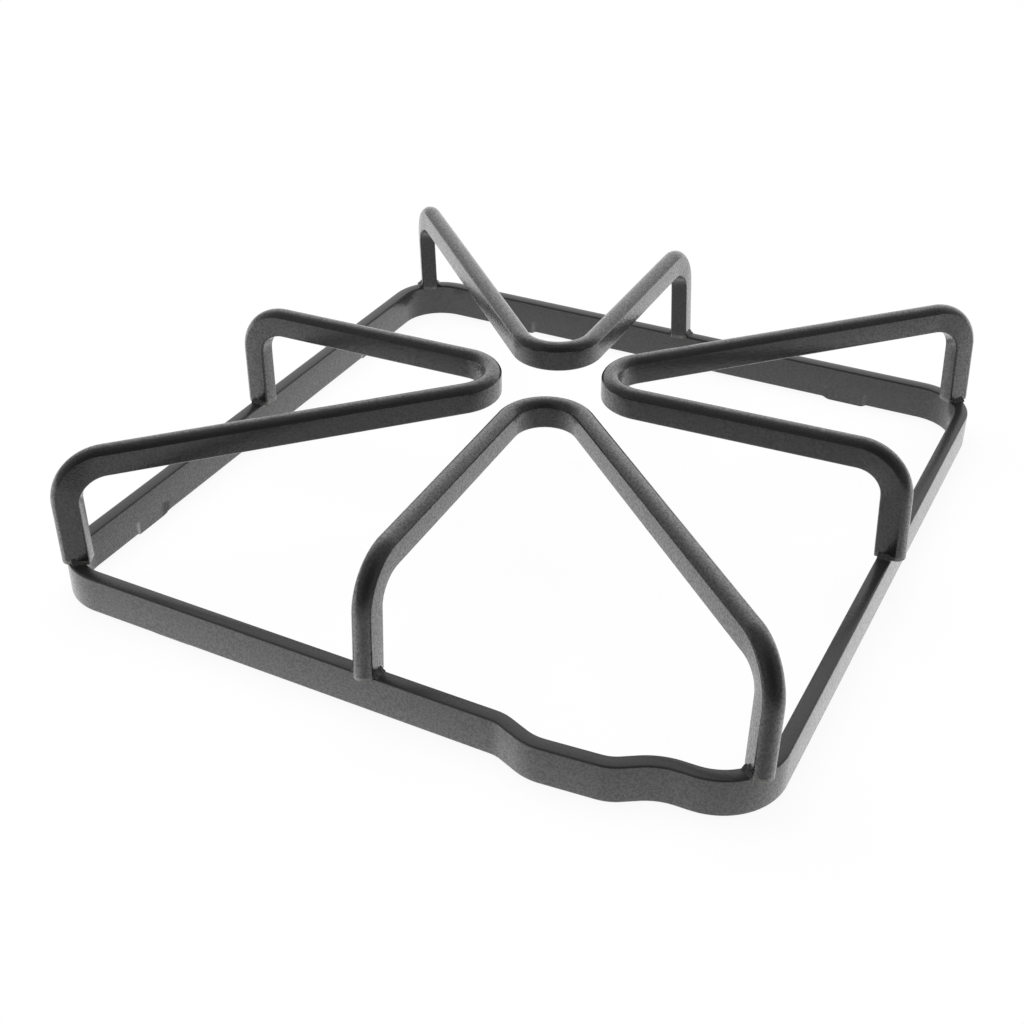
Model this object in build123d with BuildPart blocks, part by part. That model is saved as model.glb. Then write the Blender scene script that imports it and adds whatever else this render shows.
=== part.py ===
"""Pan support for one burner of a gas hob: a strip frame on edge with four bent bars welded on top.

Millimetres, +Z up. The origin lies on the burner's axis, at the level the support stands on.
The front of the support, the side with the jog, faces -Y.
"""
import math
import os

from build123d import *

# Frame: a flat strip on edge, bent to a rounded square
frame_width = 240.0         # outside, left to right
frame_depth = 242.5         # outside, from the back run to the front right corner
frame_corner = 20.5         # outside radius
strip_height = 13.1
strip_thickness = 4.8
strip_edge = 0.8            # broken upper edges of the strip

# The front run bows out towards a jog at its right end. The jog's four bends are given from left to right,
# by their distance from the right side and by how far they stand out from the frame's depth.
jog_start = 76.0
jog_crest_left = 63.0
jog_crest_right = 43.0
jog_end = 26.0
bow_at_corner = 0.3
bow_at_jog = 4.2
crest_out_left = 9.1
crest_out_right = 7.0
jog_bend = 12.0             # outside radius of the jog's bends

# Feet pressed down out of the strip's lower edge, each with a shallow recess on the inside
foot_inset = 49.0           # middle of a foot from the end of its side
foot_length = 17.0
foot_drop = 1.2             # below the strip
foot_thickness = 2.2
foot_slope = 2.0            # run of the sloping ends
recess_height = 4.2
recess_depth = 1.0

# Fingers: one bar with a domed top, bent to a V with a leg at each end
finger_rise = 38.9          # from the strip to the top of the bar
bar_width = 6.0
bar_depth = 9.5
bar_dome = 1.5              # rise of the domed top, which faces outwards on the legs
bar_edge = 0.7              # broken lower edges of the bar
tip_bend = 13.3             # radii on the bar's middle line
leg_bend = 13.4
tip_past_axis = 2.0         # where the lines of the two arms cross, seen from the finger's own side
tip_aside = -1.8
leg_end_edge = 0.8          # broken edges at the legs' lower ends
leg_spare = 2.0             # length that is cut off level with the strip
weld_leg = 2.0              # fillet welds on both sides of each leg

# Each finger belongs to one side and was set by eye: one leg beside the middle of the side,
# one on the corner to its right, turned in degrees from the corner's middle.
# The legs splay, so each foot stands out from below its bend, along its arm.
corner_middle_angle = -45.0
finger_seats = {
    "finger_front": {"turn": 0, "middle": 1.7, "middle_splay": 0.6, "corner": 14.0, "corner_splay": 1.0},
    "finger_right": {"turn": 90, "middle": 2.9, "middle_splay": 1.3, "corner": 4.5, "corner_splay": 0.8},
    "finger_back": {"turn": 180, "middle": -0.8, "middle_splay": 0.7, "corner": -1.8, "corner_splay": 0.2},
    "finger_left": {"turn": 270, "middle": 1.7, "middle_splay": 0.4, "corner": 7.0, "corner_splay": -0.3},
}

half_width = frame_width / 2
half_depth = frame_depth / 2
strip_top = foot_drop + strip_height
arm_level = strip_top + finger_rise - bar_depth / 2
up = Vector(0, 0, 1)
front = Vector(0, -1, 0)


def reach(turn):
    """From the axis to the outside of the side that faces -Y once the frame is turned."""
    return half_width if turn % 180 else half_depth


def span(turn):
    """Half the length of that side."""
    return half_depth if turn % 180 else half_width


def front_bow(x):
    """How far the front run stands out at x, left of the jog."""
    share = (x + half_width) / (frame_width - jog_start)
    return bow_at_corner + share * (bow_at_jog - bow_at_corner)


def upright_plane(point, outward):
    """Plane with x along the strip and y up, looking out through the strip."""
    return Plane(point, x_dir=up.cross(outward), z_dir=outward)


def foot_plane(turn, x, bow=0.0, lean=0.0):
    """Plane on the strip's inner face, at its lower edge."""
    seat = Vector(x, strip_thickness - reach(turn) - bow, foot_drop).rotate(Axis.Z, turn)
    return upright_plane(seat, front.rotate(Axis.Z, turn + lean))


def leg_points(seat, tip, splay):
    """Bend of a leg above its seat on the strip, and a point on the leg's line past its foot."""
    bend = seat + up * arm_level
    foot = seat + up * strip_top + (seat - tip).normalized() * splay
    return bend, foot + (foot - bend).normalized() * leg_spare


os.makedirs("parts", exist_ok=True)

# Frame ring: plan outline, hollowed by the strip's thickness
with BuildPart() as frame_ring:
    with BuildSketch(Plane.XY.offset(foot_drop)):
        with BuildLine():
            FilletPolyline(
                (-half_width, -half_depth - bow_at_corner),
                (half_width - jog_start, -half_depth - bow_at_jog),
                (half_width - jog_crest_left, -half_depth - crest_out_left),
                (half_width - jog_crest_right, -half_depth - crest_out_right),
                (half_width - jog_end, -half_depth),
                (half_width, -half_depth),
                (half_width, half_depth),
                (-half_width, half_depth),
                radius=[frame_corner] + 4 * [jog_bend] + 3 * [frame_corner],
                close=True,
            )
        make_face()
        offset(amount=-strip_thickness, mode=Mode.SUBTRACT)
    extrude(amount=strip_height)
    chamfer(frame_ring.faces().sort_by(Axis.Z)[-1].edges(), strip_edge)

    # Two feet on each plain run, one on the front run's long straight
    front_lean = -math.degrees(math.atan2(bow_at_jog - bow_at_corner, frame_width - jog_start))
    feet = [foot_plane(turn, way * (span(turn) - foot_inset)) for turn in (90, 180, 270) for way in (-1, 1)]
    feet.append(foot_plane(0, foot_inset - half_width, front_bow(foot_inset - half_width), front_lean))
    with BuildSketch(*feet):
        with BuildLine():
            Polyline(
                (-foot_length / 2, -recess_height),
                (-foot_length / 2, recess_height - foot_slope),
                (foot_slope - foot_length / 2, recess_height),
                (foot_length / 2 - foot_slope, recess_height),
                (foot_length / 2, recess_height - foot_slope),
                (foot_length / 2, -recess_height),
                close=True,
            )
        make_face()
    extrude(amount=recess_depth, both=True, mode=Mode.SUBTRACT)
    with BuildSketch(*[plane.offset(recess_depth) for plane in feet]):
        with BuildLine():
            Polyline(
                (-foot_length / 2, 0),
                (foot_length / 2, 0),
                (foot_length / 2 - foot_slope, -foot_drop),
                (foot_slope - foot_length / 2, -foot_drop),
                close=True,
            )
        make_face()
    extrude(amount=foot_thickness)
frame_ring.part.label = "frame_ring"
export_step(frame_ring.part, "parts/frame_ring.step")

# Fingers: the bar's section swept along its bent middle line, with a weld at each leg
weld_width = strip_thickness - 2 * strip_edge
for name, seat in finger_seats.items():
    turn = seat["turn"]
    stand_out = front_bow(seat["middle"]) if name == "finger_front" else 0.0
    middle_line = strip_thickness / 2 - reach(turn) - stand_out
    middle_seat = Vector(seat["middle"], middle_line).rotate(Axis.Z, turn)
    corner_centre = Vector(span(turn) - frame_corner, frame_corner - reach(turn)).rotate(Axis.Z, turn)
    corner_out = Vector(1, 0, 0).rotate(Axis.Z, turn + corner_middle_angle + seat["corner"])
    corner_seat = corner_centre + corner_out * (frame_corner - strip_thickness / 2)
    tip = Vector(tip_aside, tip_past_axis).rotate(Axis.Z, turn)
    middle_bend, middle_end = leg_points(middle_seat, tip, seat["middle_splay"])
    corner_bend, corner_end = leg_points(corner_seat, tip, seat["corner_splay"])

    with BuildPart() as finger:
        with BuildLine() as bent_bar:
            FilletPolyline(
                middle_end,
                middle_bend,
                tip + up * arm_level,
                corner_bend,
                corner_end,
                radius=[leg_bend, tip_bend, leg_bend],
            )
        bar_line = bent_bar.wire()
        section_plane = Plane(bar_line @ 0, x_dir=up.cross(tip - middle_seat), z_dir=bar_line % 0)
        with BuildSketch(section_plane) as section:
            with BuildLine():
                shoulder = bar_depth / 2 - bar_dome
                Polyline(
                    (bar_width / 2, shoulder),
                    (bar_width / 2, -bar_depth / 2),
                    (-bar_width / 2, -bar_depth / 2),
                    (-bar_width / 2, shoulder),
                )
                ThreePointArc((-bar_width / 2, shoulder), (0, bar_depth / 2), (bar_width / 2, shoulder))
            make_face()
            chamfer(section.vertices().group_by(Axis.Y)[0], bar_edge)
        sweep(path=bar_line)
        split(bisect_by=Plane.XY.offset(strip_top))
        chamfer(finger.faces().group_by(Axis.Z)[0].edges(), leg_end_edge)

        # Weld beads lie along the strip, on the corner along its tangent
        for foot, outward in ((middle_seat, front.rotate(Axis.Z, turn)), (corner_seat, corner_out)):
            with BuildSketch(upright_plane(foot + up * strip_top, outward)):
                with BuildLine():
                    Polyline(
                        (-bar_width / 2 - weld_leg, 0),
                        (bar_width / 2 + weld_leg, 0),
                        (bar_width / 2, weld_leg),
                        (-bar_width / 2, weld_leg),
                        close=True,
                    )
                make_face()
            extrude(amount=weld_width / 2, both=True)
    finger.part.label = name
    export_step(finger.part, f"parts/{name}.step")
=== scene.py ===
# %% [markdown]
# A pan support stands over one burner of a gas hob and carries the pan above the flame. This one is a flat
# steel strip, bent on edge to a square frame, with four bent bars welded on top, all in dark enamel.
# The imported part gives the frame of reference, and every piece below is built in it, in metres.

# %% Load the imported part
import math

import bpy
from mathutils import Matrix, Vector
from mathutils.geometry import interpolate_bezier


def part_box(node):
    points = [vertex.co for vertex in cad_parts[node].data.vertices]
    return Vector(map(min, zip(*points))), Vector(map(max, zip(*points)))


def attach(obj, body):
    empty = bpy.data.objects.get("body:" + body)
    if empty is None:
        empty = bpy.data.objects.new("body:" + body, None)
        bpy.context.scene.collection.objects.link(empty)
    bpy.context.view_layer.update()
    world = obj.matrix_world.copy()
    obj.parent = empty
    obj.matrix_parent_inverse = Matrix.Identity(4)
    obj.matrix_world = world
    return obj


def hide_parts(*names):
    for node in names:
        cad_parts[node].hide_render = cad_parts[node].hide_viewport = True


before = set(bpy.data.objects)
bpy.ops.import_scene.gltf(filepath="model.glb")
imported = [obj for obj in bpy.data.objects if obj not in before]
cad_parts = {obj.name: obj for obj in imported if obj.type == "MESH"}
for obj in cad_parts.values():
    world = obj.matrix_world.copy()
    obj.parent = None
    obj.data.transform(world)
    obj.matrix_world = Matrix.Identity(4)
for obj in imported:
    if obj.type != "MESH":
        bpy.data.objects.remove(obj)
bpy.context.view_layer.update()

mm = 0.001
up = Vector((0, 0, 1))
front = Vector((0, -1, 0))
print("nodes:", sorted(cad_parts))

# %% [markdown]
# Node trees are used twice here: for the shapes and for the finish. Both are built by the same small
# function, which adds a node, sets its properties and fills its sockets. A socket is filled with a value,
# with another socket, or with a node, whose first output is then taken. That keeps the trees readable.


# %% One function for every node
def add_node(tree, kind, inputs=None, **settings):
    """Add a node. Settings are its properties, and inputs fills its sockets by name or by number."""
    made = tree.nodes.new(kind)
    for name, value in settings.items():
        setattr(made, name, value)
    for key, value in (inputs or {}).items():
        if isinstance(value, bpy.types.Node):
            value = value.outputs[0]
        if isinstance(value, bpy.types.NodeSocket):
            tree.links.new(value, made.inputs[key])
        else:
            made.inputs[key].default_value = value
    return made


# %% [markdown]
# The finish is vitreous enamel: glass frit sprayed on steel and fired. It is nearly black and half matt,
# so its tone comes from what it mirrors. Seen square on it stays dark, and seen along its face it turns
# light grey. One dark colour with a shine would look like plastic, so the enamel gets a ground coat in
# clouds, a painted highlight along the bars' end rims, and a gritty cover coat.


# %% Colours
def linear(code):
    """An sRGB hex colour as the linear values that a shader works in."""
    channels = [int(code[start:start + 2], 16) / 255 for start in (1, 3, 5)]
    return [c / 12.92 if c <= 0.04045 else ((c + 0.055) / 1.055) ** 2.4 for c in channels] + [1.0]


print("mid grey in linear light:", round(linear("#808080")[0], 3))

# %% Ground coat
cloud_size = 14.0 * mm
# The bars' end rims get a pale line of painted highlight in this tone, broken up by noise of this size
rim_highlight_break_size = 2.5 * mm
painted_rim_highlight_tone = "#62625e"

# The painted rim highlight is faint where its noise is below gap_at, and whole above whole_at
gap_at, whole_at, gap_left = 0.35, 0.6, 0.2


def ground_coat(tree, place, dark, light):
    """Clouds of thicker and thinner coat, and a pale, broken line painted on the bars' end rims as a
    highlight.
    """
    cloud = add_node(tree, "ShaderNodeTexNoise", {"Vector": place, "Scale": 1 / cloud_size, "Detail": 3.0})
    tone = add_node(tree, "ShaderNodeMix", {0: cloud, 6: linear(dark), 7: linear(light)}, data_type="RGBA")
    # A pale line is painted on the end rims as a highlight, and noise breaks it up
    rim = add_node(tree, "ShaderNodeAttribute", attribute_name="rim").outputs["Fac"]
    highlight = add_node(tree, "ShaderNodeTexNoise", {"Vector": place, "Scale": 1 / rim_highlight_break_size, "Detail": 2.0})
    broken = add_node(tree, "ShaderNodeMapRange", {0: highlight, 1: gap_at, 2: whole_at, 3: gap_left, 4: 1.0})
    painted_rim_highlight = add_node(tree, "ShaderNodeMath", {0: rim, 1: broken}, operation="MULTIPLY")
    tone_with_highlight = add_node(tree, "ShaderNodeMix",
                     {0: painted_rim_highlight, 6: tone.outputs[2], 7: linear(painted_rim_highlight_tone)}, data_type="RGBA")
    return cloud, tone_with_highlight.outputs[2]


# The gaps are breaks in the painted rim highlight
print("clouds of", round(cloud_size / mm, 1), "mm, worn gaps of", round(rim_highlight_break_size / mm, 1), "mm")

# %% Roughness
noise_low, noise_high = 0.3, 0.7    # most of a noise texture's values lie between these
rough_swing = 0.1                   # share by which the clouds change the roughness
sheared_rough = 0.1                 # added on the sheared edge of the strip


def half_matt(tree, cloud, sheared, rough):
    """Roughness that follows the clouds a little, and is higher on a sheared edge."""
    gloss = add_node(tree, "ShaderNodeMapRange", {
        0: cloud, 1: noise_low, 2: noise_high, 3: rough * (1 - rough_swing), 4: rough * (1 + rough_swing)})
    return add_node(tree, "ShaderNodeMath",
                    {0: sheared, 1: sheared_rough, 2: gloss}, operation="MULTIPLY_ADD")


print("a sheared edge is rougher by", sheared_rough)

# %% Cover coat
pit_at, full_at = 0.38, 0.6         # the coat is thin where the grit is below pit_at
sheared_coat = 0.25                 # what a sheared edge keeps of the cover coat
square_on, glancing = 0.2, 0.45     # Layer Weight's facing value, from 0 square on to 1 along the face


def cover_coat(tree, grit, sheared, thin_coat, facing_coat):
    """Weight of the glassy coat. Gritty glass gleams most at a glancing view, so it is weaker square on."""
    cover = add_node(tree, "ShaderNodeMapRange", {0: grit, 1: pit_at, 2: full_at, 3: thin_coat, 4: 1.0})
    bared = add_node(tree, "ShaderNodeMapRange", {0: sheared, 3: 1.0, 4: sheared_coat})
    coat = add_node(tree, "ShaderNodeMath", {0: cover, 1: bared}, operation="MULTIPLY")
    view = add_node(tree, "ShaderNodeLayerWeight", {"Blend": 0.5}).outputs["Facing"]
    glance = add_node(tree, "ShaderNodeMapRange",
                      {0: view, 1: square_on, 2: glancing, 3: facing_coat, 4: 1.0})
    return add_node(tree, "ShaderNodeMath", {0: coat, 1: glance}, operation="MULTIPLY")


print("a sheared edge keeps", sheared_coat, "of the cover coat")

# %% Enamel
# Real grit is about 0.2 mm, and it is drawn coarser here so that it shows in the render
peel_size = 1.6 * mm
grit_size = 0.65 * mm
coat_smoothness = 0.8               # the cover coat's roughness, as a share of the ground coat's


def make_enamel(name, dark, light, rough, ior, coat_ior, facing_coat, thin_coat, peel_depth):
    """Half-matt vitreous enamel: a ground coat between two tones, and a glassy cover coat on it."""
    material = bpy.data.materials.new(name)
    material.use_nodes = True
    tree = material.node_tree
    shader = tree.nodes["Principled BSDF"]
    shader.inputs["IOR"].default_value = ior
    shader.inputs["Coat Roughness"].default_value = rough * coat_smoothness
    shader.inputs["Coat IOR"].default_value = coat_ior
    place = add_node(tree, "ShaderNodeTexCoord").outputs["Object"]
    sheared = add_node(tree, "ShaderNodeAttribute", attribute_name="sheared").outputs["Fac"]
    cloud, tone = ground_coat(tree, place, dark, light)

    # Orange peel of the sprayed coat, and the grit of the frit, which also breaks up the cover coat
    peel = add_node(tree, "ShaderNodeTexNoise", {"Vector": place, "Scale": 1 / peel_size, "Detail": 2.0})
    grit = add_node(tree, "ShaderNodeTexNoise", {"Vector": place, "Scale": 1 / grit_size, "Detail": 1.0})
    height = add_node(tree, "ShaderNodeMix", {0: 0.5, 2: peel, 3: grit}, data_type="FLOAT")
    bump = add_node(tree, "ShaderNodeBump", {"Strength": 1.0, "Distance": peel_depth * mm, "Height": height})
    finish = {
        "Base Color": tone,
        "Roughness": half_matt(tree, cloud, sheared, rough).outputs[0],
        "Coat Weight": cover_coat(tree, grit, sheared, thin_coat, facing_coat).outputs[0],
        "Normal": bump.outputs[0],
        "Coat Normal": bump.outputs[0],
    }
    for socket, source in finish.items():
        tree.links.new(source, shader.inputs[socket])
    return material


# %% Enamel on the strip, the bars and the welds
# Evenly sprayed on flat faces: a dark grey with a fine sparkle, which turns light along the face
strip_enamel = make_enamel("strip_enamel", dark="#1c1d1c", light="#252625", rough=0.25, ior=1.5,
                           coat_ior=1.8, facing_coat=0.65, thin_coat=0.5, peel_depth=0.09)

# Thicker and glassier on the bars: nearly black square on, with a bright line along each dome
bar_enamel = make_enamel("bar_enamel", dark="#121312", light="#191a19", rough=0.26, ior=1.42,
                         coat_ior=2.2, facing_coat=0.25, thin_coat=0.45, peel_depth=0.09)

# Thin and dull over the rough weld: a soft grey with hardly a gleam
weld_enamel = make_enamel("weld_enamel", dark="#262626", light="#303030", rough=0.4, ior=1.4,
                          coat_ior=1.5, facing_coat=0.5, thin_coat=0.4, peel_depth=0.1)
print("materials:", strip_enamel.name, bar_enamel.name, weld_enamel.name)

# %% [markdown]
# Strip and bars are long stock with one section all the way. The natural tool is Curve to Mesh in Geometry
# Nodes: a section swept along a line. A section is drawn flat as a closed curve object. Enamel draws back
# from a sharp edge and rounds it, so each corner of a section has a radius.


# %% Curves that the trees read
def add_curve(name, points, bends, closed):
    """A curve of straight runs. Each point carries the radius that it will be bent to."""
    data = bpy.data.curves.new(name, "CURVE")
    data.dimensions = "3D"
    spline = data.splines.new("POLY")
    spline.points.add(len(points) - 1)
    for target, point, bend in zip(spline.points, points, bends):
        target.co = (*point, 1.0)
        target.radius = bend
    spline.use_cyclic_u = closed
    curve = bpy.data.objects.new(name, data)
    bpy.context.collection.objects.link(curve)
    return curve


# %% Sections with rounded corners
corner_steps = 6
arc_handle = 0.55    # a Bezier handle of this share follows a quarter circle closely


def add_section(name, corners):
    """A closed section in millimetres. A corner is (x, y, radius), and x becomes the curve's normal."""
    outline = []
    for index, (x, y, radius) in enumerate(corners):
        corner = Vector((x, y, 0.0))
        if radius == 0.0:
            outline.append(corner)
            continue
        before = Vector((*corners[index - 1][:2], 0.0)) - corner
        after = Vector((*corners[(index + 1) % len(corners)][:2], 0.0)) - corner
        setback = radius / math.tan(before.angle(after) / 2)
        start = corner + before.normalized() * setback
        end = corner + after.normalized() * setback
        handles = start.lerp(corner, arc_handle), end.lerp(corner, arc_handle)
        outline += interpolate_bezier(start, *handles, end, corner_steps)
    print(name, "points:", len(outline))
    return add_curve(name, [point * mm for point in outline], [1.0] * len(outline), closed=True)


# %% Marks that the trees read
def add_marks(name, label, marks):
    """Loose points for a tree. Each mark is a spot and a direction, which is kept as an attribute."""
    mesh = bpy.data.meshes.new(name)
    mesh.from_pydata([spot for spot, way in marks], [], [])
    ways = mesh.attributes.new(label, "FLOAT_VECTOR", "POINT")
    for item, (spot, way) in zip(ways.data, marks):
        item.vector = way
    made = bpy.data.objects.new(name, mesh)
    bpy.context.collection.objects.link(made)
    print(name, "marks:", len(marks))
    return made


# %% Start and end of a tree
def new_tree(name, **sockets):
    """A Geometry Nodes tree with a named input for each size or object that it needs."""
    tree = bpy.data.node_groups.new(name, "GeometryNodeTree")
    tree.interface.new_socket("Geometry", in_out="INPUT", socket_type="NodeSocketGeometry")
    for label, kind in sockets.items():
        tree.interface.new_socket(label, in_out="INPUT", socket_type="NodeSocket" + kind)
    tree.interface.new_socket("Geometry", in_out="OUTPUT", socket_type="NodeSocketGeometry")
    return tree, add_node(tree, "NodeGroupInput").outputs


def end_tree(tree, geometry, material):
    """Close a tree: faces are shaded smooth, instances become real and the material is set."""
    smooth = add_node(tree, "GeometryNodeSetShadeSmooth", {"Geometry": geometry})
    real = add_node(tree, "GeometryNodeRealizeInstances", {"Geometry": smooth})
    dressed = add_node(tree, "GeometryNodeSetMaterial", {"Geometry": real, "Material": material})
    add_node(tree, "NodeGroupOutput", {"Geometry": dressed})
    print(tree.name, "nodes:", len(tree.nodes))


# %% Bending and sweeping
bend_count = 24    # points on each bend before the line is spaced evenly


def bent_line(tree, given):
    """Bend a line at its points, each to the radius that it carries, and space its points evenly."""
    bend = add_node(tree, "GeometryNodeInputRadius")
    bent = add_node(tree, "GeometryNodeFilletCurve",
                    {"Curve": given["Geometry"], "Radius": bend, "Count": bend_count}, mode="POLY")
    return add_node(tree, "GeometryNodeResampleCurve",
                    {"Curve": bent, "Length": given["Spacing"]}, mode="LENGTH")


def sweep(tree, line, section, capped):
    """Sweep a section along a line whose normals are set."""
    profile = add_node(tree, "GeometryNodeObjectInfo", {"Object": section}).outputs["Geometry"]
    return add_node(tree, "GeometryNodeCurveToMesh",
                    {"Curve": line, "Profile Curve": profile, "Fill Caps": capped})


# %% From a tree to a piece
crease = math.radians(40)


def grow(name, source, tree, **values):
    """Run a tree on a source object and keep its result as a piece with a plain mesh."""
    modifier = source.modifiers.new(tree.name, "NODES")
    modifier.node_group = tree
    for item in tree.interface.items_tree:
        if item.name in values:
            modifier[item.identifier] = values[item.name]
    depsgraph = bpy.context.evaluated_depsgraph_get()
    mesh = bpy.data.meshes.new_from_object(source.evaluated_get(depsgraph), depsgraph=depsgraph)
    mesh.set_sharp_from_angle(angle=crease)
    piece = bpy.data.objects.new(name, mesh)
    bpy.context.collection.objects.link(piece)
    bpy.data.objects.remove(source)
    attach(piece, "root")
    mesh.calc_loop_triangles()
    print(name, "triangles:", len(mesh.loop_triangles))
    return piece


# %% [markdown]
# The frame is one strip, rolled on edge and bent along a plan: four round corners, and in the front run a
# jog that steps out and back. The plan is the outside line of the strip, and the section hangs inside it.
# Fillet Curve bends each point of the line to the radius that the point carries.

# %% Plan of the strip
half_width, half_depth, strip_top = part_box("frame_ring")[1]
foot_drop = 1.2 * mm
strip_height = strip_top - foot_drop
strip_thickness = 4.8 * mm
corner_bend = 20.5 * mm
jog_bends = [9.0 * mm, 18.0 * mm, 15.0 * mm, 18.0 * mm]

# Front run from left to right: distance from the right side, and how far it stands out
front_run = ((2 * half_width / mm, 0.3), (76.4, 4.0), (64.9, 8.9), (40.8, 7.15), (29.4, 0.1), (0.0, -0.2))
plan = [Vector((half_width - x * mm, -half_depth - out * mm, foot_drop)) for x, out in front_run]
plan += [Vector((half_width, half_depth, foot_drop)), Vector((-half_width, half_depth, foot_drop))]
plan_bends = [corner_bend] + jog_bends + 3 * [corner_bend]
plan_line = add_curve("strip_plan", plan, plan_bends, closed=True)
print("strip:", round(strip_height / mm, 1), "mm high, plan points:", len(plan))

# %% [markdown]
# The strip's section is a rounded rectangle with a slightly crowned top, 0 on the outside and the thickness
# inwards. Its inner face and its underside have extra points where the feet are pressed out, so that the
# press finds points to move.

# %% Section of the strip
outer_round, inner_round, crown_round = 0.9, 0.7, 0.7
crown_rise, crown_steps = 0.3, 8
tall = strip_height / mm
thick = strip_thickness / mm
press_step = 0.35
inner_steps = [press_step * step for step in range(4, 16)]
under_steps = [3.45, 3.2, 2.7, 2.1, 1.5, 1.05]
strip_corners = [(0.0, 0.0, outer_round)]
for step in range(crown_steps + 1):
    share = 2 * step / crown_steps - 1
    rounding = crown_round if step in (0, crown_steps) else 0.0
    strip_corners.append((tall - crown_rise * share ** 2, -thick * step / crown_steps, rounding))
strip_corners += [(height, -thick, 0.0) for height in reversed(inner_steps)]
strip_corners += [(0.0, -thick, inner_round)]
strip_corners += [(0.0, step - thick, 0.0) for step in reversed(under_steps)]

# The order of a section's points decides which way the swept faces look: this way they look outwards
strip_corners.reverse()
strip_section = add_section("strip_section", strip_corners)

# %% [markdown]
# Seven feet are pressed out of the strip's lower edge, each with a shallow recess on its inner face. Seven
# modelled feet would have to be joined to the strip, so a foot is only a mark here: a point on the inner
# face with the direction out through the strip. The tree presses the strip out and down beside each mark.


# %% Sides of the frame
def side_frame(turn):
    """A side, turned in degrees from the front: distance from the axis, half length, and the turn."""
    reach, span = (half_width, half_depth) if turn % 180 else (half_depth, half_width)
    return reach, span, Matrix.Rotation(math.radians(turn), 3, "Z")


half_lengths = [round(side_frame(turn)[1] / mm, 2) for turn in (0, 90)]
print("half length of the front and the right side in mm:", half_lengths)

# %% Marks of the pressed feet
foot_inset = 49.0 * mm
foot_marks = []
for turn in (90, 180, 270):
    reach, span, swing = side_frame(turn)
    for way in (-1, 1):
        mark = Vector((way * (span - foot_inset), strip_thickness - reach, foot_drop))
        foot_marks.append((swing @ mark, swing @ front))

# The front run isn't quite parallel to the back run, so its foot is turned with it
front_slope = (plan[1].y - plan[0].y) / (plan[1].x - plan[0].x)
front_foot = plan[0] + Vector((foot_inset, foot_inset * front_slope, 0))
front_out = Vector((front_slope, -1, 0)).normalized()
foot_marks.append((front_foot - front_out * strip_thickness, front_out))
foot_object = add_marks("foot_marks", "outward", foot_marks)

# %% Strip tree: sweep
strip_tree, given = new_tree(
    "strip_on_edge", Section="Object", Marks="Object", Spacing="Float", Length="Float", Slope="Float",
    Drop="Float", Recess="Float", Lip="Float", Thickness="Float",
)
even = bent_line(strip_tree, given)
unit = add_node(strip_tree, "GeometryNodeSetCurveRadius", {"Curve": even, "Radius": 1.0})
level = add_node(strip_tree, "GeometryNodeSetCurveNormal", {"Curve": unit, "Normal": up}, mode="FREE")
swept = sweep(strip_tree, level, given["Section"], capped=False)

# The upper edge is marked for the finish: 1 where the face looks up
side_up, top_up = 0.3, 0.8
face_way = add_node(strip_tree, "GeometryNodeInputNormal")
face_up = add_node(strip_tree, "ShaderNodeSeparateXYZ", {0: face_way}).outputs["Z"]
on_top = add_node(strip_tree, "ShaderNodeMapRange", {0: face_up, 1: side_up, 2: top_up})
edged = add_node(strip_tree, "GeometryNodeStoreNamedAttribute",
                 {"Geometry": swept, "Name": "sheared", "Value": on_top}, data_type="FLOAT", domain="POINT")
print("strip tree inputs:", [socket.name for socket in given if socket.name])

# %% Strip tree: each point seen from its nearest mark
marks = add_node(strip_tree, "GeometryNodeObjectInfo", {"Object": given["Marks"]}).outputs["Geometry"]
here = add_node(strip_tree, "GeometryNodeInputPosition")
outward = add_node(strip_tree, "GeometryNodeInputNamedAttribute",
                   {"Name": "outward"}, data_type="FLOAT_VECTOR")
nearest = add_node(strip_tree, "GeometryNodeSampleNearest", {"Geometry": marks}, domain="POINT")
mark_spot, mark_way = [
    add_node(strip_tree, "GeometryNodeSampleIndex",
             {"Geometry": marks, "Value": value, "Index": nearest}, data_type="FLOAT_VECTOR")
    for value in (here, outward)
]
offset = add_node(strip_tree, "ShaderNodeVectorMath", {0: here, 1: mark_spot}, operation="SUBTRACT")
along_way = add_node(strip_tree, "ShaderNodeVectorMath", {0: up, 1: mark_way}, operation="CROSS_PRODUCT")
out, along = [
    add_node(strip_tree, "ShaderNodeVectorMath",
             {0: offset, 1: way}, operation="DOT_PRODUCT").outputs["Value"]
    for way in (mark_way, along_way)
]
apart = add_node(strip_tree, "ShaderNodeMath", {0: along}, operation="ABSOLUTE")
rise = add_node(strip_tree, "ShaderNodeSeparateXYZ", {0: offset}).outputs["Z"]
print("strip tree nodes so far:", len(strip_tree.nodes))

# %% Strip tree: press out
# Full in the middle of the foot, running out over the slope at its ends and at the lip above
lip_soft = 0.35 * mm
half_length = add_node(strip_tree, "ShaderNodeMath", {0: given["Length"], 1: 0.5}, operation="MULTIPLY")
flat_half = add_node(strip_tree, "ShaderNodeMath", {0: half_length, 1: given["Slope"]}, operation="SUBTRACT")
ends = add_node(strip_tree, "ShaderNodeMapRange", {0: apart, 1: flat_half, 2: half_length, 3: 1.0, 4: 0.0})
lip_top = add_node(strip_tree, "ShaderNodeMath", {0: given["Lip"], 1: lip_soft}, operation="ADD")
under_lip = add_node(strip_tree, "ShaderNodeMapRange",
                     {0: rise, 1: given["Lip"], 2: lip_top, 3: 1.0, 4: 0.0})
press = add_node(strip_tree, "ShaderNodeMath", {0: ends, 1: under_lip}, operation="MULTIPLY")
recess_floor = add_node(strip_tree, "ShaderNodeMath", {0: press, 1: given["Recess"]}, operation="MULTIPLY")
short = add_node(strip_tree, "ShaderNodeMath", {0: recess_floor, 1: out}, operation="SUBTRACT")
push = add_node(strip_tree, "ShaderNodeMath", {0: short, 1: 0.0}, operation="MAXIMUM")
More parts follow.
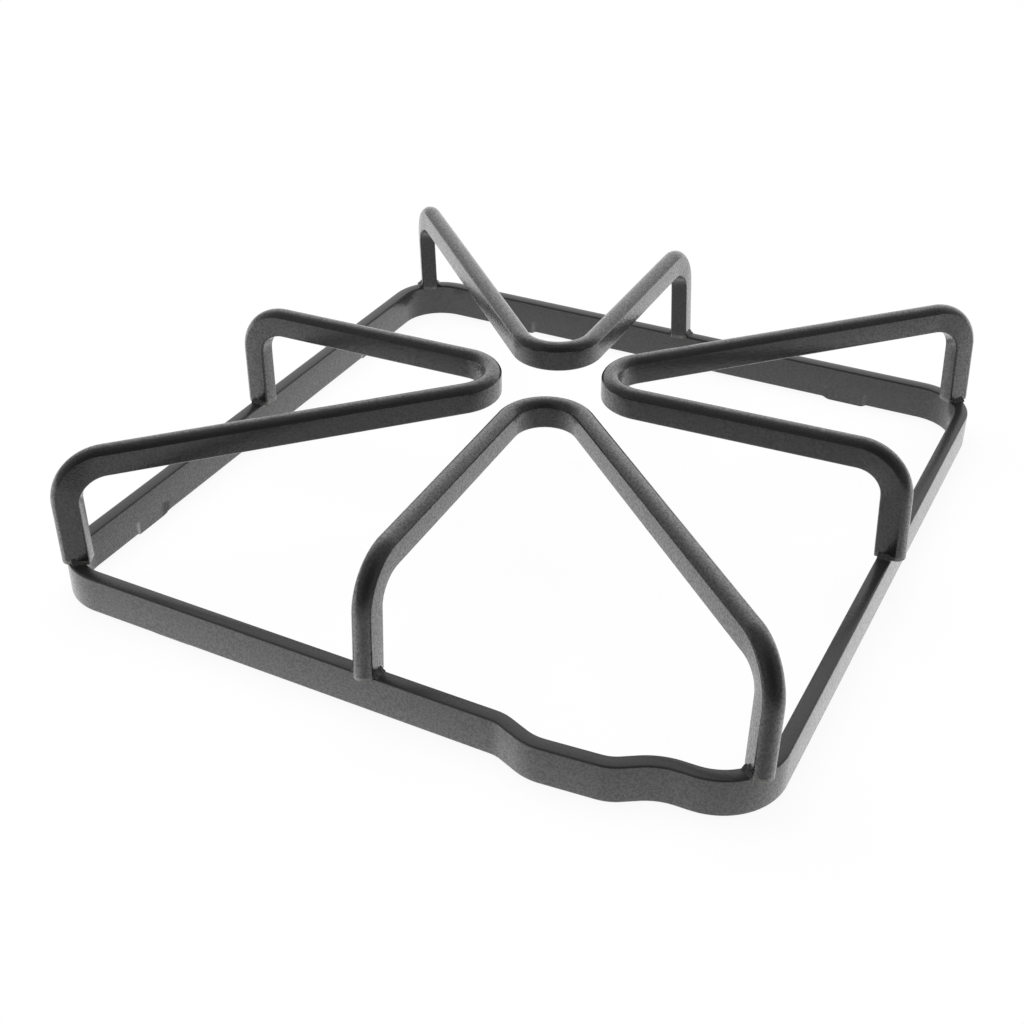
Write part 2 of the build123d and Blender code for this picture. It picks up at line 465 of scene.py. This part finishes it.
at_foot = add_node(strip_tree, "ShaderNodeMath", {0: press, 1: 0.0}, operation="GREATER_THAN")
push_here = add_node(strip_tree, "ShaderNodeMath", {0: push, 1: at_foot}, operation="MULTIPLY")
push_out = add_node(strip_tree, "ShaderNodeVectorMath", {0: mark_way, "Scale": push_here}, operation="SCALE")
print("strip tree nodes so far:", len(strip_tree.nodes))

# %% Strip tree: press down
# Only the strip's underside between the recess and the foot's own thickness goes down
foot_soft = 0.2 * mm
underside_reach = 0.5 * mm
foot_face = add_node(strip_tree, "ShaderNodeMath",
                     {0: given["Recess"], 1: given["Thickness"]}, operation="ADD")
foot_edge = add_node(strip_tree, "ShaderNodeMath", {0: foot_face, 1: foot_soft}, operation="ADD")
inside = add_node(strip_tree, "ShaderNodeMapRange", {0: out, 1: foot_face, 2: foot_edge, 3: 1.0, 4: 0.0})
underside = add_node(strip_tree, "ShaderNodeMapRange", {0: rise, 1: 0.0, 2: underside_reach, 3: 1.0, 4: 0.0})
sunk = add_node(strip_tree, "ShaderNodeMath", {0: inside, 1: underside}, operation="MULTIPLY")
sunk_ends = add_node(strip_tree, "ShaderNodeMath", {0: sunk, 1: ends}, operation="MULTIPLY")
depth = add_node(strip_tree, "ShaderNodeMath", {0: sunk_ends, 1: given["Drop"]}, operation="MULTIPLY")
push_down = add_node(strip_tree, "ShaderNodeVectorMath", {0: -up, "Scale": depth}, operation="SCALE")
both = add_node(strip_tree, "ShaderNodeVectorMath", {0: push_out, 1: push_down}, operation="ADD")
pressed = add_node(strip_tree, "GeometryNodeSetPosition", {"Geometry": edged, "Offset": both})
end_tree(strip_tree, pressed, strip_enamel)

# %% The strip
strip = grow(
    "strip_frame", plan_line, strip_tree, Section=strip_section, Marks=foot_object, Spacing=0.8 * mm,
    Length=17.0 * mm, Slope=2.0 * mm, Drop=foot_drop, Recess=1.0 * mm, Lip=4.2 * mm, Thickness=2.2 * mm,
)
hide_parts("frame_ring")
bpy.data.objects.remove(strip_section)
bpy.data.objects.remove(foot_object)

# %% [markdown]
# Each finger is one bar with a domed top, bent to a V that points at the burner, with a leg at each end.
# The dome faces up on the arms and outwards on the legs. Curve to Mesh turns a section by the curve's
# normal, so the tree works that normal out: it leans from up on the arm to outwards on the leg.

# %% Section of the bar
bar_width = 6.3
bar_depth = 9.45
bar_dome = 2.1
lower_round, shoulder_round = 0.7, 0.6
dome_steps = 12
dome_radius = ((bar_width / 2) ** 2 + bar_dome ** 2) / (2 * bar_dome)
dome_half = math.asin(bar_width / 2 / dome_radius)
bar_corners = [(-bar_depth / 2, -bar_width / 2, lower_round), (-bar_depth / 2, bar_width / 2, lower_round)]
for step in range(dome_steps + 1):
    lean = dome_half * (1 - 2 * step / dome_steps)
    x = bar_depth / 2 - dome_radius * (1 - math.cos(lean))
    bar_corners.append((x, dome_radius * math.sin(lean), shoulder_round if step in (0, dome_steps) else 0.0))
bar_corners.reverse()
bar_section = add_section("bar_section", bar_corners)

# %% Finger tree: which way the leg looks
finger_tree, given = new_tree("bent_bar", Section="Object", Spacing="Float", Rim="Float", Depth="Float",
                              First_twist="Float", Last_twist="Float")
even = bent_line(finger_tree, given)

# Level direction of the arm that a point belongs to, read a quarter of the way from each end
arm_ways = [
    add_node(finger_tree, "GeometryNodeSampleCurve", {"Curves": even, "Factor": share},
             mode="FACTOR", use_all_curves=True).outputs["Tangent"]
    for share in (0.25, 0.75)
]
spot = add_node(finger_tree, "GeometryNodeSplineParameter")
second = add_node(finger_tree, "ShaderNodeMath",
                  {0: spot.outputs["Factor"], 1: 0.5}, operation="GREATER_THAN")
arm_way = add_node(finger_tree, "ShaderNodeMix",
                   {0: second, 4: arm_ways[0], 5: arm_ways[1]}, data_type="VECTOR").outputs[1]
leg_twist = add_node(finger_tree, "ShaderNodeMix",
                     {0: second, 2: given["First_twist"], 3: given["Last_twist"]}, data_type="FLOAT")
leg_way = add_node(finger_tree, "ShaderNodeVectorRotate",
                   {"Vector": arm_way, "Angle": leg_twist}, rotation_type="Z_AXIS")
print("finger tree inputs:", [socket.name for socket in given if socket.name])

# %% Finger tree: lean of the dome
tangent = add_node(finger_tree, "GeometryNodeInputTangent")
climb = add_node(finger_tree, "ShaderNodeSeparateXYZ", {0: tangent}).outputs["Z"]
square = add_node(finger_tree, "ShaderNodeMath", {0: climb, 1: climb}, operation="MULTIPLY")
rest = add_node(finger_tree, "ShaderNodeMath", {0: 1.0, 1: square}, operation="SUBTRACT", use_clamp=True)
level_part = add_node(finger_tree, "ShaderNodeMath", {0: rest}, operation="SQRT")
upward = add_node(finger_tree, "ShaderNodeVectorMath", {0: up, "Scale": level_part}, operation="SCALE")
outward = add_node(finger_tree, "ShaderNodeVectorMath", {0: leg_way, "Scale": climb}, operation="SCALE")
dome_way = add_node(finger_tree, "ShaderNodeVectorMath", {0: upward, 1: outward}, operation="SUBTRACT")
turned = add_node(finger_tree, "GeometryNodeSetCurveNormal",
                  {"Curve": even, "Normal": dome_way}, mode="FREE")
print("finger tree nodes so far:", len(finger_tree.nodes))

# %% Finger tree: rounded ends
# The ends of the bar draw in over the rim, as a quarter circle does
whole = add_node(finger_tree, "GeometryNodeSplineLength").outputs["Length"]
left = add_node(finger_tree, "ShaderNodeMath", {0: whole, 1: spot.outputs["Length"]}, operation="SUBTRACT")
to_end = add_node(finger_tree, "ShaderNodeMath", {0: spot.outputs["Length"], 1: left}, operation="MINIMUM")
near = add_node(finger_tree, "ShaderNodeMapRange", {0: to_end, 1: 0.0, 2: given["Rim"], 3: 1.0, 4: 0.0})
near_square = add_node(finger_tree, "ShaderNodeMath", {0: near, 1: near}, operation="MULTIPLY")
chord = add_node(finger_tree, "ShaderNodeMath", {0: 1.0, 1: near_square}, operation="SUBTRACT")
arc = add_node(finger_tree, "ShaderNodeMath", {0: chord}, operation="SQRT")
missing = add_node(finger_tree, "ShaderNodeMath", {0: 1.0, 1: arc}, operation="SUBTRACT")
middle_depth = add_node(finger_tree, "ShaderNodeMath", {0: given["Depth"], 1: 0.5}, operation="MULTIPLY")
rim_share = add_node(finger_tree, "ShaderNodeMath", {0: given["Rim"], 1: middle_depth}, operation="DIVIDE")
drawn = add_node(finger_tree, "ShaderNodeMath", {0: missing, 1: rim_share}, operation="MULTIPLY")
girth = add_node(finger_tree, "ShaderNodeMath", {0: 1.0, 1: drawn}, operation="SUBTRACT")
tapered = add_node(finger_tree, "GeometryNodeSetCurveRadius", {"Curve": turned, "Radius": girth})

# The rim is marked for the painted highlight in the finish, from where the end starts to draw in
rim_from, rim_full = 0.05, 0.4
rim_highlight_mask = add_node(finger_tree, "ShaderNodeMapRange", {0: near, 1: rim_from, 2: rim_full})
marked = add_node(finger_tree, "GeometryNodeStoreNamedAttribute",
                  {"Geometry": tapered, "Name": "rim", "Value": rim_highlight_mask}, data_type="FLOAT", domain="POINT")
end_tree(finger_tree, sweep(finger_tree, marked, given["Section"], capped=True), bar_enamel)

# %% [markdown]
# The four fingers share one shape and go round the burner like a pinwheel. Their feet were set by eye on the
# real object: one beside the middle of a side, one on the corner to its right. So each leg has a place, a
# splay and a twist of its own, and one tree makes all four. A route has five points and is bent at three.

# %% Seats of the fingers
# Each leg: place of its bend and of its foot along the strip (mm, on a corner degrees), splay in mm, twist
finger_seats = {
    "front": {"turn": 0, "middle": (2.2, 1.2, 0.6, 2.0), "corner": (17.0, 11.0, 1.0, -11.0)},
    "right": {"turn": 90, "middle": (3.2, 2.6, 1.3, -9.0), "corner": (5.8, 3.2, 0.8, 9.0)},
    "back": {"turn": 180, "middle": (-0.1, -1.4, 0.7, 6.0), "corner": (-0.5, -3.0, 0.1, -11.0)},
    "left": {"turn": 270, "middle": (1.8, 1.6, 0.4, -4.0), "corner": (7.3, 6.8, -0.3, -19.0)},
}
corner_middle_angle = -45.0


def on_side(side, x):
    """Middle of the strip, x mm along a side from its middle, and the way out through the strip."""
    reach, _, swing = side_frame(finger_seats[side]["turn"])
    bow = -half_depth - plan[0].y - front_slope * (x * mm + half_width) if side == "front" else 0.0
    return swing @ Vector((x * mm, strip_thickness / 2 - reach - bow, 0)), swing @ front


def on_corner(side, degrees):
    """Middle of the strip on the corner to the right of a side, and the way out through the strip."""
    reach, span, swing = side_frame(finger_seats[side]["turn"])
    centre = swing @ Vector((span - corner_bend, corner_bend - reach, 0))
    turn = math.radians(corner_middle_angle + degrees)
    outward = swing @ Vector((math.cos(turn), math.sin(turn), 0))
    return centre + outward * (corner_bend - strip_thickness / 2), outward


print("fingers:", list(finger_seats))

# %% The fingers
arm_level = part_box("finger_front")[1][2] - bar_depth / 2 * mm
tip_bend = 13.3 * mm
leg_bend = 13.4 * mm
tip_point = Vector((-1.8, 2.0, 0.0)) * mm
weld_sink = 0.4 * mm    # the legs' ends go this far into the strip, as a weld melts them in
leg_feet = []
for side, seat in finger_seats.items():
    tip = side_frame(seat["turn"])[2] @ tip_point
    legs = []
    for place, locate in (("middle", on_side), ("corner", on_corner)):
        bend_at, foot_at, splay, twist = seat[place]
        foot, outward = locate(side, foot_at)
        leg_feet.append((foot, outward))
        splayed = foot + (foot - tip).normalized() * splay * mm
        legs.append([splayed + up * (strip_top - weld_sink), locate(side, bend_at)[0] + up * arm_level])
    route = legs[0] + [tip + up * arm_level] + legs[1][::-1]
    line = add_curve(side + "_finger_line", route, [0.0, leg_bend, tip_bend, leg_bend, 0.0], closed=False)
    first_twist, last_twist = [math.radians(seat[place][-1]) for place in ("middle", "corner")]
    finger = grow(side + "_finger", line, finger_tree, Section=bar_section, Spacing=0.5 * mm, Rim=1.6 * mm,
                  Depth=bar_depth * mm, First_twist=first_twist, Last_twist=last_twist)
    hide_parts("finger_" + side)
bpy.data.objects.remove(bar_section)

# %% [markdown]
# A short weld bead fills the corner on both sides of each leg. Sixteen beads could be modelled one by one,
# but they differ only by chance. So one bead is put on sixteen marks, and noise, which reads each bead's own
# place, makes every surface lumpy in another way.

# %% Marks and section of the welds
weld_marks = []
for foot, outward in leg_feet:
    for way in (-1, 1):
        away = up.cross(outward) * way
        weld_marks.append((foot + away * bar_width / 2 * mm + up * strip_top, away))
weld_object = add_marks("weld_marks", "away", weld_marks)
weld_outline = [(-0.8, 0.6), (1.6, 0.6), (1.4, -0.1), (0.7, -0.5), (0.2, -1.3), (-0.8, -1.6)]
weld_section = add_section("weld_section", [(x, y, 0.0) for x, y in reversed(weld_outline)])

# %% Weld tree: one bead
weld_tree, given = new_tree("weld_beads", Section="Object", Width="Float", Lump="Float", Lump_size="Float")
half = add_node(weld_tree, "ShaderNodeMath", {0: given["Width"], 1: 0.5}, operation="MULTIPLY")
other = add_node(weld_tree, "ShaderNodeMath", {0: half, 1: -1.0}, operation="MULTIPLY")
start = add_node(weld_tree, "ShaderNodeCombineXYZ", {"Y": other})
end = add_node(weld_tree, "ShaderNodeCombineXYZ", {"Y": half})
across = add_node(weld_tree, "GeometryNodeCurvePrimitiveLine", {"Start": start, "End": end})
bead_points = 16
fine = add_node(weld_tree, "GeometryNodeResampleCurve", {"Curve": across, "Count": bead_points})

# The bead swells in the middle of its run and thins towards its tails
swell_from, middle_swell, tail_swell = 0.1, 1.05, 0.6
run = add_node(weld_tree, "GeometryNodeSplineParameter").outputs["Factor"]
off_middle = add_node(weld_tree, "ShaderNodeMath", {0: run, 1: 0.5}, operation="SUBTRACT")
to_tail = add_node(weld_tree, "ShaderNodeMath", {0: off_middle}, operation="ABSOLUTE")
swell = add_node(weld_tree, "ShaderNodeMapRange",
                 {0: to_tail, 1: swell_from, 2: 0.5, 3: middle_swell, 4: tail_swell})
thinned = add_node(weld_tree, "GeometryNodeSetCurveRadius", {"Curve": fine, "Radius": swell})
level = add_node(weld_tree, "GeometryNodeSetCurveNormal",
                 {"Curve": thinned, "Normal": (1, 0, 0)}, mode="FREE")
bead = sweep(weld_tree, level, given["Section"], capped=True)
print("weld tree inputs:", [socket.name for socket in given if socket.name])

# %% Weld tree: beads on the marks, made lumpy
away = add_node(weld_tree, "GeometryNodeInputNamedAttribute", {"Name": "away"}, data_type="FLOAT_VECTOR")
turned = add_node(weld_tree, "FunctionNodeAxesToRotation",
                  {0: away, 1: up}, primary_axis="X", secondary_axis="Z")
beads = add_node(weld_tree, "GeometryNodeInstanceOnPoints",
                 {"Points": given["Geometry"], "Instance": bead, "Rotation": turned})
placed = add_node(weld_tree, "GeometryNodeRealizeInstances", {"Geometry": beads})
bead_smoothing = 2
solid = add_node(weld_tree, "GeometryNodeSubdivisionSurface", {"Mesh": placed, "Level": bead_smoothing})
lump_scale = add_node(weld_tree, "ShaderNodeMath", {0: 1.0, 1: given["Lump_size"]}, operation="DIVIDE")
lumps = add_node(weld_tree, "ShaderNodeTexNoise", {"Scale": lump_scale, "Detail": 2.0})
in_or_out = add_node(weld_tree, "ShaderNodeMapRange",
                     {0: lumps, 1: noise_low, 2: noise_high, 3: -1.0, 4: 1.0})
lift = add_node(weld_tree, "ShaderNodeMath", {0: in_or_out, 1: given["Lump"]}, operation="MULTIPLY")
normal = add_node(weld_tree, "GeometryNodeInputNormal")
shift = add_node(weld_tree, "ShaderNodeVectorMath", {0: normal, "Scale": lift}, operation="SCALE")
lumpy = add_node(weld_tree, "GeometryNodeSetPosition", {"Geometry": solid, "Offset": shift})
end_tree(weld_tree, lumpy, weld_enamel)

# %% The welds
grow("weld_beads", weld_object, weld_tree, Section=weld_section, Width=4.4 * mm, Lump=0.16 * mm,
     Lump_size=1.1 * mm)
bpy.data.objects.remove(weld_section)

# %% [markdown]
# The object stands on a white paper sweep. A paper that is only lit would turn grey, and more light on it
# would wash out the enamel. So the paper glows plain white to the camera and in reflections, and a small
# share of matt paper is left in it, which takes the object's shadow.

# %% Floor
floor_reach = 4.0
floor_corners = [(x * floor_reach, y * floor_reach, 0) for x, y in ((-1, -1), (1, -1), (1, 1), (-1, 1))]
floor_mesh = bpy.data.meshes.new("floor")
floor_mesh.from_pydata(floor_corners, [], [(0, 1, 2, 3)])
floor = bpy.data.objects.new("floor", floor_mesh)
bpy.context.collection.objects.link(floor)
print("floor:", 2 * floor_reach, "m wide")

# %% Paper: what sees it white
paper = bpy.data.materials.new("white_paper_sweep")
paper.use_nodes = True
sheet = paper.node_tree
sheet.nodes.clear()
floor_mesh.materials.append(paper)
ray = add_node(sheet, "ShaderNodeLightPath").outputs
seen = add_node(sheet, "ShaderNodeMath",
                {0: ray["Is Camera Ray"], 1: ray["Is Glossy Ray"]}, operation="MAXIMUM")
seen_all = add_node(sheet, "ShaderNodeMath", {0: seen, 1: ray["Is Transmission Ray"]}, operation="MAXIMUM")

# In reflections the paper inside the frame is dimmer, because it lies in the shade of the bars
shade_edge, light_edge, frame_shade = 0.09, 0.13, 0.8
paper_spot = add_node(sheet, "ShaderNodeTexCoord").outputs["Object"]
spread = add_node(sheet, "ShaderNodeVectorMath", {0: paper_spot}, operation="ABSOLUTE")
sides = add_node(sheet, "ShaderNodeSeparateXYZ", {0: spread}).outputs
from_middle = add_node(sheet, "ShaderNodeMath", {0: sides["X"], 1: sides["Y"]}, operation="MAXIMUM")
shade = add_node(sheet, "ShaderNodeMapRange",
                 {0: from_middle, 1: shade_edge, 2: light_edge, 3: frame_shade, 4: 1.0})
print("paper inside the frame shows in the enamel at", frame_shade)

# %% Paper: glow and shadow
# Towards the front right of the room the paper falls off, so that no hard horizon shows in the enamel
dark_way = Vector((0.6, -0.8, 0.0))
fall_start, fall_end, far_glow = 0.12, 0.42, 0.2
outwards = add_node(sheet, "ShaderNodeVectorMath",
                    {0: paper_spot, 1: dark_way}, operation="DOT_PRODUCT").outputs["Value"]
fall = add_node(sheet, "ShaderNodeMapRange", {0: outwards, 1: fall_start, 2: fall_end, 3: 1.0, 4: far_glow})
dimmed = add_node(sheet, "ShaderNodeMath", {0: shade, 1: fall}, operation="MULTIPLY")
glow = add_node(sheet, "ShaderNodeMix", {0: ray["Is Glossy Ray"], 2: 1.0, 3: dimmed}, data_type="FLOAT")
shadow_share = 0.07
white_share = add_node(sheet, "ShaderNodeMath", {0: seen_all, 1: 1 - shadow_share}, operation="MULTIPLY")
paper_matt = add_node(sheet, "ShaderNodeBsdfDiffuse", {"Color": linear("#f4f4f4")})
paper_white = add_node(sheet, "ShaderNodeEmission", {"Strength": glow})
paper_mix = add_node(sheet, "ShaderNodeMixShader", {0: white_share, 1: paper_matt, 2: paper_white})
add_node(sheet, "ShaderNodeOutputMaterial", {"Surface": paper_mix})
print("share of matt paper that takes the shadow:", shadow_share)

# %% [markdown]
# Glossy black shows the room it stands in, so the room is designed like a studio: a bright backdrop behind
# the object, soft grey around, and a dim side at the front right, which keeps the faces that look that way
# dark. It is drawn in the world's nodes, because a world needs no panels that other views would show.

# %% Room
world = bpy.data.worlds.new("white_room")
world.use_nodes = True
room = world.node_tree
room.nodes.clear()
bpy.context.scene.world = world
look = add_node(room, "ShaderNodeTexCoord").outputs["Generated"]

# Each side is a round patch about its direction, from its soft edge to its middle
backdrop_way = Vector((-0.25, 0.88, 0.40)).normalized()
backdrop_edge, backdrop_middle, room_tone = 0.45, 0.97, 0.4
towards = add_node(room, "ShaderNodeVectorMath",
                   {0: look, 1: backdrop_way}, operation="DOT_PRODUCT").outputs["Value"]
backdrop = add_node(room, "ShaderNodeMapRange",
                    {0: towards, 1: backdrop_edge, 2: backdrop_middle, 3: room_tone, 4: 1.0})
dim_way = Vector((0.40, -0.72, 0.57)).normalized()
dim_edge, dim_middle, dim_tone = 0.6, 0.95, 0.3
against = add_node(room, "ShaderNodeVectorMath",
                   {0: look, 1: dim_way}, operation="DOT_PRODUCT").outputs["Value"]
unlit = add_node(room, "ShaderNodeMapRange", {0: against, 1: dim_edge, 2: dim_middle, 3: 1.0, 4: dim_tone})
mirrored = add_node(room, "ShaderNodeMath", {0: backdrop, 1: unlit}, operation="MULTIPLY")
print("room: tone", room_tone, "around, 1.0 at the backdrop")

# %% Light of the room
# The room is white to the camera, the studio above in reflections, and an even soft light on matt surfaces
soft_tone = 0.6
ray = add_node(room, "ShaderNodeLightPath").outputs
studio = add_node(room, "ShaderNodeMix",
                  {0: ray["Is Glossy Ray"], 2: soft_tone, 3: mirrored}, data_type="FLOAT")
clear = add_node(room, "ShaderNodeMath",
                 {0: ray["Is Camera Ray"], 1: ray["Is Transmission Ray"]}, operation="MAXIMUM")
strength = add_node(room, "ShaderNodeMix", {0: clear, 2: studio, 3: 1.0}, data_type="FLOAT")
sky = add_node(room, "ShaderNodeBackground", {"Color": (1, 1, 1, 1), "Strength": strength})
add_node(room, "ShaderNodeOutputWorld", {"Surface": sky})
print("soft light:", soft_tone)

# %% [markdown]
# One wide lamp above adds the soft shadow under the bars. A large disk gives a shadow without a hard edge.
# It is kept out of reflections, because the enamel already mirrors the studio.

# %% Lamp
lamp_data = bpy.data.lights.new("overhead_softbox", "AREA")
lamp_data.shape = "DISK"
lamp_data.size = 1.2
lamp_data.energy = 12.0
lamp = bpy.data.objects.new("overhead_softbox", lamp_data)
lamp.location = (-0.3, 0.2, 1.2)
lamp.rotation_euler = (-lamp.location).to_track_quat("-Z", "Y").to_euler()
lamp.visible_glossy = False
bpy.context.collection.objects.link(lamp)
print("lamp:", lamp_data.energy, "W,", round(lamp_data.size, 2), "m wide")

# %% [markdown]
# The camera stands to the right of the front and looks down on the support. Its place and lens were worked
# out from the outline of the object, so the corners of the frame fall where they do in the photograph.

# %% Camera
camera_data = bpy.data.cameras.new("camera")
camera_data.sensor_width = 36.0
camera_data.lens = 54.53
camera = bpy.data.objects.new("camera", camera_data)
camera.location = Vector((194.95, -412.55, 293.66)) * mm
aim = Vector((8.67, -45.57, 26.02)) * mm
camera_roll = math.radians(-0.18)
sight = aim - camera.location
camera_turn = sight.to_track_quat("-Z", "Y").to_matrix() @ Matrix.Rotation(camera_roll, 3, "Z")
camera.rotation_euler = camera_turn.to_euler()
bpy.context.collection.objects.link(camera)
bpy.context.scene.camera = camera
bpy.context.scene.view_settings.view_transform = "Standard"
print("camera:", round(sight.length, 3), "m from its aim")
